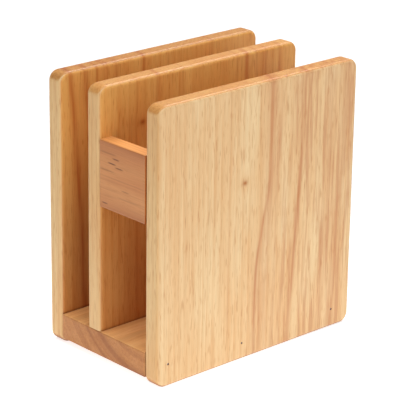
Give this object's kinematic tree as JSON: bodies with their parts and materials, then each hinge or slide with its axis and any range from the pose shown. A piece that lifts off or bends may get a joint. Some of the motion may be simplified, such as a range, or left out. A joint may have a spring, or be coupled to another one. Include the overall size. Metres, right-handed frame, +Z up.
{
  "type": "slotted wooden rack",
  "caption": "Free-standing wooden rack: three upright boards on a raised base make a narrow and a wide open slot, with short battens across the wide slot's ends.",
  "frame": {"origin": "middle of the rack's footprint, on the surface that it stands on", "axes": "+Z up, X along the boards with the left end at -X, Y across the slots with the front board at -Y"},
  "size_m": [0.2, 0.125, 0.215],
  "materials": {
    "board_wood": "pale honey pine boards, long grain upright, clear satin varnish, rounded edges",
    "base_wood": "pale honey pine board, grain along the slots, end grain at both ends, clear satin varnish",
    "batten_wood": "pinkish brown pine, grain along the batten, clear satin varnish",
    "dowel_wood": "pale beech, unvarnished, fluted",
    "brad_steel": "dull blued wire",
    "screw_steel": "bright zinc plate"
  },
  "bodies": {
    "root": {"front_panel": "board_wood", "divider_panel": "board_wood", "back_panel": "board_wood", "base_board": "base_wood", "left_batten": "batten_wood", "right_batten": "batten_wood", "front_left_brad": "brad_steel", "front_middle_brad": "brad_steel", "front_right_brad": "brad_steel", "back_left_brad": "brad_steel", "back_middle_brad": "brad_steel", "back_right_brad": "brad_steel", "left_divider_screw": "screw_steel", "middle_divider_screw": "screw_steel", "right_divider_screw": "screw_steel", "left_front_lower_dowel": "dowel_wood", "left_front_upper_dowel": "dowel_wood", "left_rear_lower_dowel": "dowel_wood", "left_rear_upper_dowel": "dowel_wood", "right_front_lower_dowel": "dowel_wood", "right_front_upper_dowel": "dowel_wood", "right_rear_lower_dowel": "dowel_wood", "right_rear_upper_dowel": "dowel_wood"}
  },
  "joints": []
}
